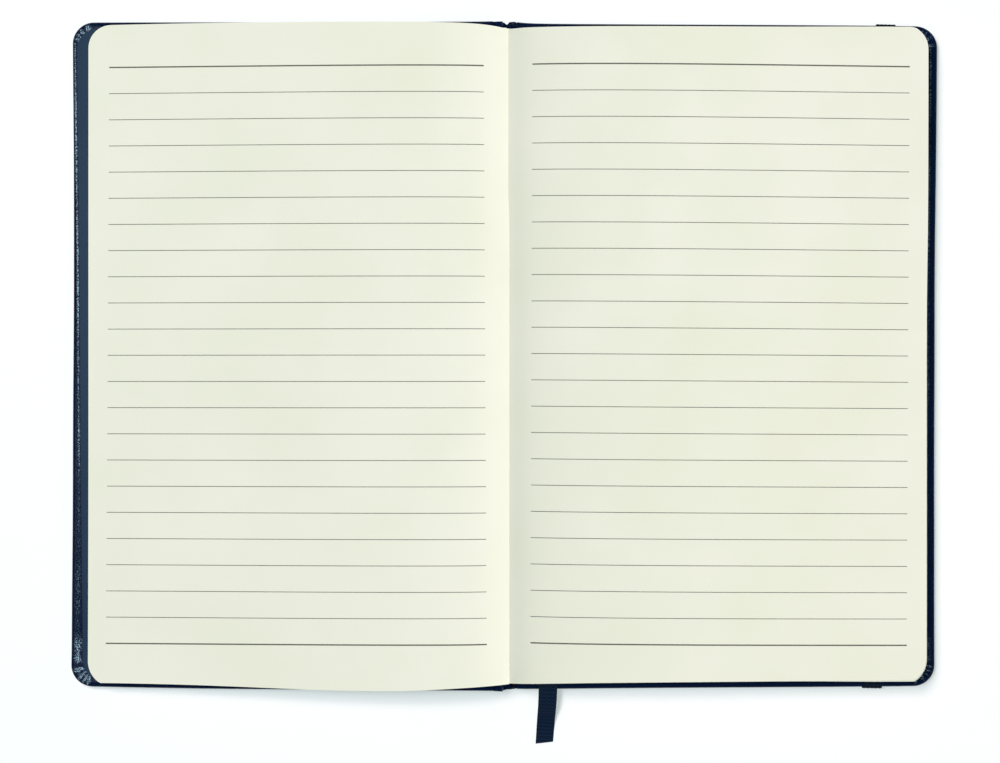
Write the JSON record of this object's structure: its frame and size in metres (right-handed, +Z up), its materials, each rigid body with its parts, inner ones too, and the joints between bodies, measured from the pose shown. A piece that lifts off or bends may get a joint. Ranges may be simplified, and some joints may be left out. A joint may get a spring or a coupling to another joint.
{
  "type": "open notebook",
  "caption": "Open hardback ruled notebook in navy leatherette with rounded corners, sewn pages, elastic closure and ribbon marker.",
  "frame": {"origin": "on the table, under the gutter, at mid-length of the spine", "axes": "+X across the open book towards the thick side, +Y towards the head, +Z up from the table"},
  "size_m": [0.2733, 0.2293, 0.0142],
  "materials": {
    "page_paper": "matte",
    "endpaper": "matte",
    "leatherette": "satin",
    "greyboard": "matte",
    "lining_cloth": "matte",
    "woven_ribbon": "satin",
    "elastic_webbing": "matte"
  },
  "bodies": {
    "book_block": {"text_block": "page_paper", "spine_lining": "lining_cloth", "spine_skin": "leatherette", "front_flyleaf": "endpaper", "back_flyleaf": "endpaper", "ribbon_marker": "woven_ribbon"},
    "front_cover": {"front_board": "greyboard", "front_cover_skin": "leatherette", "front_endpaper": "endpaper"},
    "back_cover": {"back_board": "greyboard", "back_cover_skin": "leatherette", "back_endpaper": "endpaper", "elastic_band": "elastic_webbing"}
  },
  "joints": [
    {"name": "front_cover_hinge", "type": "hinge", "parent": "book_block", "child": "front_cover", "pos_m": [-0.0051, 0, 0.00598], "axis": [0, -1, 0], "range_deg": [0, 90]},
    {"name": "back_cover_hinge", "type": "hinge", "parent": "book_block", "child": "back_cover", "pos_m": [0.0025, 0, 0.00175], "axis": [0, 1, 0], "range_deg": [0, 90]}
  ]
}
